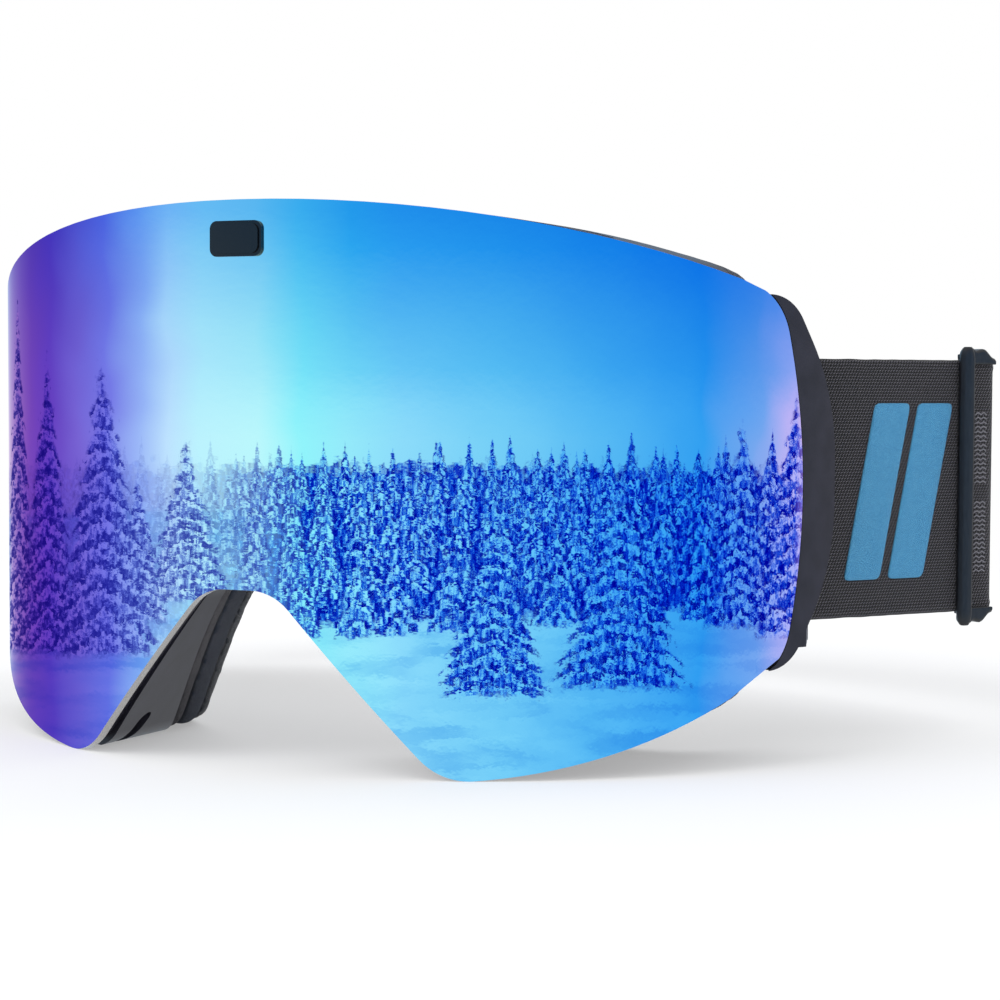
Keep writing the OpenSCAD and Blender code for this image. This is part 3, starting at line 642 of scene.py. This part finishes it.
foam = dict(
    layers=[
        dict(name="baseFoamRing", node="face_foam_base", slot="base_foam", material=baseFoam,
             voxel=0.0009, rounds=9, fill=0.8, ripple=0.00003, swell=False),
        dict(name="middleFoamRing", node="face_foam_mid", slot="middle_foam", material=middleFoam,
             voxel=0.0009, rounds=9, fill=0.8, ripple=0.00004, swell=False),
        dict(name="fleeceRing", node="face_fleece", slot="fleece", material=fleece,
             voxel=0.0009, rounds=9, fill=0.6, ripple=0.00006, swell=True),
    ],
    pressure=3.0, cap=0.0008, frames=12, rippleScale=220,
)


def swellCloth(piece, pressure, cap, frames):
    # a short pressure run plumps the piece; no point moves further than cap
    rest = np.empty(len(piece.data.vertices) * 3)
    piece.data.vertices.foreach_get("co", rest)
    cloth = piece.modifiers.new("cloth", "CLOTH")
    cloth.settings.quality = 5
    cloth.settings.use_pressure = True
    cloth.settings.uniform_pressure_force = pressure
    cloth.settings.tension_stiffness = 30
    cloth.settings.compression_stiffness = 30
    cloth.settings.bending_stiffness = 5
    cloth.settings.effector_weights.gravity = 0
    cloth.collision_settings.use_collision = False
    scene = bpy.context.scene
    for step in range(1, frames + 1):
        scene.frame_set(step)
    applyModifiers(piece)
    scene.frame_set(1)
    swollen = np.empty_like(rest)
    piece.data.vertices.foreach_get("co", swollen)
    move = (swollen - rest).reshape(-1, 3)
    length = np.linalg.norm(move, axis=1, keepdims=True)
    move *= np.minimum(1, cap / np.maximum(length, 1e-9))
    piece.data.vertices.foreach_set("co", (rest.reshape(-1, 3) + move).ravel())


def makeFoam(layer):
    mesh = nodes[layer["node"]].data.copy()
    work = bmesh.new()
    work.from_mesh(mesh)
    bmesh.ops.remove_doubles(work, verts=work.verts, dist=1e-6)
    work.to_mesh(mesh)
    work.free()
    mesh.materials.clear()
    mesh.materials.append(layer["material"])
    piece = bpy.data.objects.new(layer["name"], mesh)
    bpy.context.scene.collection.objects.link(piece)
    soften(piece, layer["voxel"], layer["rounds"])
    if layer["swell"]:
        swellCloth(piece, foam["pressure"], foam["cap"], foam["frames"])
    for vertex in piece.data.vertices:
        vertex.co += vertex.normal * noise.noise(vertex.co * foam["rippleScale"]) * layer["ripple"]
    divide = piece.modifiers.new("divide", "SUBSURF")
    divide.levels = divide.render_levels = 1
    applyModifiers(piece)
    piece.data.polygons.foreach_set("use_smooth", [True] * len(piece.data.polygons))
    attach(piece, "frame")
    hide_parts(layer["node"])


for layer in foam["layers"]:
    makeFoam(layer)
print("foam ready")


# strap: flat woven elastic, from pin to pin round the back

def middleOf(node):
    low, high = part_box(node)
    return (low + high) / 2


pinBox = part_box("strap_pin_left")
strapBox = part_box("strap")
strap = dict(
    pin=middleOf("strap_pin_left"), pinRadius=(pinBox[1].x - pinBox[0].x) / 2,
    middle=(strapBox[0].z + strapBox[1].z) / 2, width=strapBox[1].z - strapBox[0].z,
    thickness=0.0013, angle=math.radians(55), backAngle=math.radians(140),
    doubled=0.046, bendRadius=0.018, tail=0.009, endBar=0.0018, window=0.0040, bar=0.0028,
    plyGap=0.0003, pinGap=0.00025, endGap=0.0002,
    step=0.0007, edgeRound=0.0006, beadIn=0.0014, bead=0.0005, edgeBead=0.00015,
    ripple=0.00012, rippleScale=260, rippleWide=0.004,
)
alongStrap = np.array([math.cos(strap["angle"]), math.sin(strap["angle"])])
outFromStrap = np.array([math.sin(strap["angle"]), -math.cos(strap["angle"])])
turnRadius = strap["pinRadius"] + strap["pinGap"] + strap["thickness"] / 2
endRadius = strap["endBar"] / 2 + strap["endGap"] + strap["thickness"] / 2
endBarAt = strap["doubled"] - endRadius
endBarOut = turnRadius - endRadius
barAt = endBarAt - strap["endBar"] / 2 - strap["window"] - strap["bar"]
innerOut = -(endRadius * 2 - turnRadius + strap["thickness"] + strap["plyGap"])


def onStrap(distance, out):
    # a point seen from above, on the wearer's left side
    return np.array([strap["pin"].x, strap["pin"].y]) + alongStrap * distance + outFromStrap * out


def arc(centre, radius, start, stop, steps):
    angles = np.linspace(math.radians(start), math.radians(stop), steps + 1)
    return [centre + radius * np.array([math.cos(a), math.sin(a)]) for a in angles]


def straight(start, stop, steps):
    return [start + (stop - start) * k / steps for k in range(steps)]


slope = math.degrees(strap["angle"])
pinPlace = onStrap(0, 0)
foldPlace = onStrap(endBarAt, endBarOut)
bendPlace = onStrap(barAt + strap["bar"], innerOut - strap["bendRadius"])
backTurn = math.degrees(strap["backAngle"])
backStart = bendPlace + strap["bendRadius"] * np.array([math.sin(strap["backAngle"]),
                                                       -math.cos(strap["backAngle"])])
backRadius = backStart[0] / math.sin(math.pi - strap["backAngle"])
backPlace = np.array([0, backStart[1] + backRadius * math.cos(strap["backAngle"])])
outerPath = (straight(onStrap(endBarAt - strap["tail"], endBarOut - endRadius),
                      onStrap(endBarAt, endBarOut - endRadius), 8)
             + arc(foldPlace, endRadius, slope + 90, slope - 90, 20)
             + straight(onStrap(endBarAt, turnRadius), onStrap(0, turnRadius), 30)[1:]
             + arc(pinPlace, turnRadius, slope - 90, slope - 270, 20))
innerHalf = (straight(onStrap(0, -turnRadius), onStrap(barAt + strap["bar"], innerOut), 20)
             + arc(bendPlace, strap["bendRadius"], slope - 90, backTurn - 90, 30)
             + arc(backPlace, backRadius, backTurn - 90, 90, 60)[1:])
backPath = innerHalf + [point * [-1, 1] for point in reversed(innerHalf[:-1])]


def evenly(path, step):
    # the same path with points at even steps, and how far along each is
    path = np.array(path)
    reached = np.concatenate([[0], np.cumsum(np.linalg.norm(np.diff(path, axis=0), axis=1))])
    count = int(reached[-1] / step)
    wanted = np.linspace(0, reached[-1], count + 1)
    return np.column_stack([np.interp(wanted, reached, path[:, k]) for k in (0, 1)]), wanted


def bandSection():
    # half of the webbing's section: rounded edge, then a face with a bead along each selvedge
    halfWidth, halfThick = strap["width"] / 2, strap["thickness"] / 2
    inset = [0.0007, 0.0011, 0.0015, 0.002, 0.0027, 0.004]
    places = [-halfWidth + d for d in inset] + list(np.linspace(-0.7, 0.7, 9) * halfWidth)
    places += [halfWidth - d for d in reversed(inset)]
    face = []
    for z in places:
        offBead = (halfWidth - abs(z) - strap["beadIn"]) / strap["bead"]
        face.append((halfThick + strap["edgeBead"] * math.exp(-offBead ** 2), z))
    edgeRound = strap["edgeRound"]
    cap = [(halfThick * math.sin(a), halfWidth - edgeRound + edgeRound * math.cos(a))
           for a in (math.radians(d) for d in (65, 35, 0, -35, -65))]
    return face + cap + [(-n, z) for n, z in reversed(face)] + [(-n, -z) for n, z in cap]


def makeBand(name, path, side):
    middle, reached = evenly(path, strap["step"])
    tangent = np.gradient(middle, axis=0)
    tangent /= np.linalg.norm(tangent, axis=1, keepdims=True)
    normal = np.column_stack([tangent[:, 1], -tangent[:, 0]])
    section = bandSection()
    around = len(section)
    vertices, uvs = [], []
    for place, out, along in zip(middle, normal, reached):
        wave = strap["ripple"] * noise.noise(Vector((along * strap["rippleScale"], 0, 3)))
        for n, z in section:
            edge = max(0, abs(z) - strap["width"] / 2 + strap["rippleWide"]) / strap["rippleWide"]
            spot = place + out * n
            vertices.append((side * spot[0], spot[1], strap["middle"] + z + wave * edge))
            uvs.append((along, z))
    faces = []
    for k in range(len(middle) - 1):
        for j in range(around):
            a, b = k * around + j, k * around + (j + 1) % around
            faces.append((a, b, b + around, a + around))
    last = (len(middle) - 1) * around
    faces += [tuple(range(around - 1, -1, -1)), tuple(range(last, last + around))]
    piece = newPiece(name, vertices, faces, [webbing])
    uvLayer = piece.data.uv_layers.new(name="weave")
    corners = np.empty(len(piece.data.loops), dtype=np.int32)
    piece.data.loops.foreach_get("vertex_index", corners)
    uvLayer.data.foreach_set("uv", np.array(uvs)[corners].ravel())
    faceOutward(piece)
    return piece


sides = [dict(name="Left", side=1, body="slider_left"),
         dict(name="Right", side=-1, body="slider_right")]


def toWorld(side, along, out, z):
    spot = onStrap(along, out)
    return Vector((side * spot[0], spot[1], z))


def followSlider(piece):
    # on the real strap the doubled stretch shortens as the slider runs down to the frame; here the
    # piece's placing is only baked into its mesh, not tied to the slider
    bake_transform(piece)


band = makeBand("strapBack", backPath, 1)
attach(band, "frame")
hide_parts("strap")
for hand in sides:
    outer = makeBand("strapDoubled" + hand["name"], outerPath, hand["side"])
    followSlider(outer)
    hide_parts("strap")
print("strap ready")


# raised print: two slanted bars on each doubled stretch

printBars = dict(
    start=0.0094, low=-0.0172, high=0.0160, width=0.0084, gap=0.0020, lean=0.0070, corner=0.0012,
    thick=0.00035, sink=0.00005, step=0.0004, fuzz=0.00006,
    # from the webbing to the crown: how far in, and what share of the thickness
    rings=[(0.0, 0.0), (0.0, 0.7), (0.00018, 1.0), (0.0016, 1.08)],
)


def roundedOutline(corners, radius, steps=5):
    points = []
    for k, corner in enumerate(corners):
        corner = np.array(corner)
        before = np.array(corners[k - 1]) - corner
        after = np.array(corners[(k + 1) % len(corners)]) - corner
        before = before / np.linalg.norm(before) * radius
        after = after / np.linalg.norm(after) * radius
        for j in range(steps + 1):
            t = j / steps
            points.append(corner + before * (1 - t) ** 2 + after * t ** 2)
    return points


def makePrint(hand):
    vertices, faces = [], []
    base = turnRadius + strap["thickness"] / 2 - printBars["sink"]
    for k in range(2):
        left = printBars["start"] + k * (printBars["width"] + printBars["gap"])
        corners = [(left, printBars["low"]), (left + printBars["width"], printBars["low"]),
                   (left + printBars["width"] + printBars["lean"], printBars["high"]),
                   (left + printBars["lean"], printBars["high"])]
        outline = roundedOutline(corners, printBars["corner"])
        outline = evenly(outline + outline[:1], printBars["step"])[0][:-1]
        centre = outline.mean(axis=0)
        rings = [(inset, base + printBars["thick"] * share) for inset, share in printBars["rings"]]
        count = len(outline)
        first = len(vertices)
        for inset, out in rings:
            for j, point in enumerate(outline):
                jitter = printBars["fuzz"] * noise.noise(Vector((j * 0.9, k * 7.0, 0)))
                pull = (centre - point) / np.linalg.norm(centre - point) * (inset + jitter)
                along, z = point + pull
                vertices.append(toWorld(hand["side"], along, out, strap["middle"] + z))
        for r in range(len(rings) - 1):
            for j in range(count):
                a, b = first + r * count + j, first + r * count + (j + 1) % count
                faces.append((a, b, b + count, a + count))
        top = first + (len(rings) - 1) * count
        faces += [tuple(range(top, top + count)), tuple(range(first + count - 1, first - 1, -1))]
    piece = newPiece("raisedPrint" + hand["name"], vertices, faces, [flock])
    faceOutward(piece)
    followSlider(piece)


for hand in sides:
    makePrint(hand)
print("print ready")


# stitching: zigzag tacks that hold the strap's end in its fold

tacks = dict(rows=16, rowPitch=0.00088, columns=4, columnPitch=0.00070, thread=0.00013,
             length=0.00088, tilt=math.radians(28), groups=(0.0074, -0.0098), along=0.0424)
# the node group's sockets and what this piece puts in them
tackInputs = {
    "Rows": ("Int", tacks["rows"]), "Row pitch": ("Float", tacks["rowPitch"]),
    "Columns": ("Int", tacks["columns"]), "Column pitch": ("Float", tacks["columnPitch"]),
    "Thread radius": ("Float", tacks["thread"]), "Stitch length": ("Float", tacks["length"]),
    "Tilt": ("Float", tacks["tilt"]), "Material": ("Material", thread),
}


def stitchTree():
    tree = bpy.data.node_groups.new("zigzagTacks", "GeometryNodeTree")
    sockets = {}
    for name, (kind, _) in tackInputs.items():
        socket = tree.interface.new_socket(name, in_out="INPUT", socket_type="NodeSocket" + kind)
        sockets[name] = socket.identifier
    tree.interface.new_socket("Geometry", in_out="OUTPUT", socket_type="NodeSocketGeometry")
    given = addNode(tree, "NodeGroupInput").outputs
    wide = addNode(tree, "Math", [addNode(tree, "Math", [given["Columns"], 1.0], "SUBTRACT"),
        given["Column pitch"]], "MULTIPLY")
    tall = addNode(tree, "Math", [addNode(tree, "Math", [given["Rows"], 1.0], "SUBTRACT"),
        given["Row pitch"]], "MULTIPLY")
    grid = addNode(tree, "GeometryNodeMeshGrid", {"Size X": wide, "Size Y": tall,
        "Vertices X": given["Columns"], "Vertices Y": given["Rows"]})
    place = addNode(tree, "SeparateXYZ", [addNode(tree, "GeometryNodeInputPosition")])
    column = addNode(tree, "Math", [addNode(tree, "Math", [addNode(tree, "Math", [place.outputs[0],
        given["Column pitch"]], "DIVIDE"), 50.0], "ADD")], "ROUND")
    parity = addNode(tree, "Math", [addNode(tree, "Math", [column, 2.0], "MODULO"), 2.0, -1.0],
        "MULTIPLY_ADD")
    tilt = addNode(tree, "Math", [parity, given["Tilt"]], "MULTIPLY")
    loose = addNode(tree, "FunctionNodeRandomValue", {2: -0.12, 3: 0.12, "Seed": 5})
    angle = addNode(tree, "Math", [tilt, loose.outputs[1]], "ADD")
    halfLong = addNode(tree, "Math", [given["Stitch length"], 0.5], "MULTIPLY")
    back = addNode(tree, "Math", [halfLong, -1.0], "MULTIPLY")
    line = addNode(tree, "GeometryNodeCurvePrimitiveBezierSegment", {"Start": addNode(tree,
        "CombineXYZ", [back]), "End": addNode(tree, "CombineXYZ", [halfLong]),
        "Start Handle": addNode(tree, "CombineXYZ", [addNode(tree, "Math", [back, 0.4], "MULTIPLY"),
        None, given["Thread radius"]]), "End Handle": addNode(tree, "CombineXYZ",
        [addNode(tree, "Math", [halfLong, 0.4], "MULTIPLY"), None, given["Thread radius"]]),
        "Resolution": 5})
    ring = addNode(tree, "GeometryNodeCurvePrimitiveCircle", {"Resolution": 6, "Radius": given[
        "Thread radius"]})
    tube = addNode(tree, "GeometryNodeCurveToMesh", {"Curve": line, "Profile Curve": ring,
        "Fill Caps": True})
    spread = addNode(tree, "GeometryNodeInstanceOnPoints", {"Points": grid, "Instance": tube,
        "Rotation": addNode(tree, "CombineXYZ", {"Z": angle})})
    real = addNode(tree, "GeometryNodeRealizeInstances", [spread])
    painted = addNode(tree, "GeometryNodeSetMaterial", {"Geometry": real, "Material": given[
        "Material"]})
    addNode(tree, "NodeGroupOutput", [painted])
    return tree, sockets


tackTree, tackSockets = stitchTree()


def makeTacks(hand):
    work = bmesh.new()
    for middleZ in tacks["groups"]:
        carrier = newPiece("tackGroup", [(0, 0, 0)], [], [])
        modifier = carrier.modifiers.new("tacks", "NODES")
        modifier.node_group = tackTree
        for name, (_, value) in tackInputs.items():
            modifier[tackSockets[name]] = value
        applyModifiers(carrier)
        out = turnRadius + strap["thickness"] / 2
        centre = toWorld(hand["side"], tacks["along"], out, strap["middle"] + middleZ)
        across = toWorld(hand["side"], 1, 0, 0) - toWorld(hand["side"], 0, 0, 0)
        normal = toWorld(hand["side"], 0, 1, 0) - toWorld(hand["side"], 0, 0, 0)
        turn = Matrix((across, (0, 0, 1), normal)).transposed().to_4x4()
        carrier.data.transform(Matrix.Translation(centre) @ turn)
        if turn.determinant() < 0:
            carrier.data.flip_normals()
        work.from_mesh(carrier.data)
        bpy.data.objects.remove(carrier)
    piece = newPiece("zigzagTacks" + hand["name"], [], [], [thread])
    work.to_mesh(piece.data)
    work.free()
    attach(piece, hand["body"])


for hand in sides:
    makeTacks(hand)
print("stitching ready")


# sliders: one moulding of three bars and two humped ends

slider = dict(
    half=0.0270, barThick=0.0021, endRound=0.0030, chamfer=0.0007,
    keeper=0.0016, keeperThick=0.0012, keeperDrop=0.0011, keeperIn=0.0014, heelBack=0.0012,
    endBarIn=0.0010, tipRound=0.0012, clear=0.0005, footDrop=0.0015, plateRise=0.0009,
    plateFall=0.03, lip=0.0013, voxel=0.00022, rounds=3,
    # end plate: distance back from the front of the bar, height from the strap's middle
    crest=[(0.0004, 0.0260), (0.0014, 0.0266), (0.0024, 0.0268), (0.0032, 0.0266), (0.0038, 0.0262),
           (0.0044, 0.0262), (0.0051, 0.0264), (0.0058, 0.0265), (0.0064, 0.0263), (0.0070, 0.0258),
           (0.0076, 0.0252), (0.0082, 0.0248), (0.0089, 0.0246)],
)


def loft(work, sections):
    rings = [[work.verts.new(point) for point in section] for section in sections]
    for a, b in zip(rings, rings[1:]):
        for j in range(len(a)):
            work.faces.new((a[j], a[(j + 1) % len(a)], b[(j + 1) % len(a)], b[j]))
    work.faces.new(list(reversed(rings[0])))
    work.faces.new(rings[-1])


def barSections(hand, section, half, endRound):
    # a bar along the slider's height, drawn in to a round at both ends
    centre = np.mean(section, axis=0)
    steps = [(-half + endRound * (1 - math.cos(a)), math.sin(a))
             for a in np.linspace(0.35, math.pi / 2, 6)]
    steps += [(-z, share) for z, share in reversed(steps)]
    return [[toWorld(hand["side"], *(centre + (np.array(point) - centre) * (0.25 + 0.75 * share)),
                     strap["middle"] + z) for point in section] for z, share in steps]


def circleSection(along, out, radius, count=16):
    return [(along + radius * math.cos(a), out + radius * math.sin(a))
            for a in np.linspace(0, 2 * math.pi, count, endpoint=False)]


def makeSlider(hand):
    work = bmesh.new()
    over = turnRadius + strap["thickness"] / 2 + strap["plyGap"]
    under = innerOut - strap["thickness"] / 2 - strap["plyGap"] - slider["keeperDrop"]
    front, back, heel = barAt, barAt + strap["bar"], endBarAt + slider["heelBack"]
    top = over + slider["barThick"]
    chamfer = slider["chamfer"]
    outerBar = [(front, over), (front - 0.0003, over + chamfer), (front + 0.0003, top - 0.0003),
                (front + 0.0010, top), (back - 0.0006, top), (back, top - chamfer), (back, over)]
    loft(work, barSections(hand, outerBar, slider["half"], slider["endRound"]))
    toe, floorOut = heel - slider["keeper"], under - slider["keeperThick"]
    keeper = [(toe, under), (toe, under - chamfer), (toe + 0.0004, floorOut),
              (heel - 0.0005, floorOut), (heel, under - chamfer), (heel, under)]
    postEnd = slider["half"] - slider["keeperIn"]
    loft(work, barSections(hand, keeper, postEnd, slider["tipRound"]))
    endBar = circleSection(endBarAt, endBarOut, strap["endBar"] / 2)
    loft(work, barSections(hand, endBar, slider["half"] - slider["endBarIn"], slider["tipRound"]))
    inside = strap["width"] / 2 + slider["clear"]
    foot = endBarOut - slider["footDrop"]
    for up in (-1, 1):
        # post from the keeper up to the end plate
        corners = ((toe, inside), (heel, inside), (heel, postEnd), (toe, postEnd))
        levels = (under - 0.0010, under - 0.0004, foot + 0.0006)
        loft(work, [[toWorld(hand["side"], along, out, strap["middle"] + up * z)
                     for along, z in corners] for out in levels])
        # end plate: high at the bar, a dip, a lower hump, then down to a lip over the strap's edge
        plate = []
        for along, crest in slider["crest"]:
            high = over + slider["plateRise"] - slider["plateFall"] * along
            share = min(1, along / (toe - front))
            low = (over - 0.0002) * (1 - share) + foot * share
            lip = inside - slider["lip"]
            plate.append([toWorld(hand["side"], front + along, out, strap["middle"] + up * z)
                          for out, z in ((low, inside), (over, inside), (over, lip), (high, lip),
                                         (high, crest - 0.0005), (high - 0.0004, crest),
                                         (low + 0.0003, crest), (low, crest - 0.0004))])
        loft(work, plate)
    bmesh.ops.recalc_face_normals(work, faces=work.faces)
    piece = newPiece("slider" + hand["name"], [], [], [sliderNylon])
    work.to_mesh(piece.data)
    work.free()
    soften(piece, slider["voxel"], slider["rounds"])
    piece.data.polygons.foreach_set("use_smooth", [True] * len(piece.data.polygons))
    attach(piece, hand["body"])
    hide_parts(hand["body"])


for hand in sides:
    makeSlider(hand)
print("sliders ready")
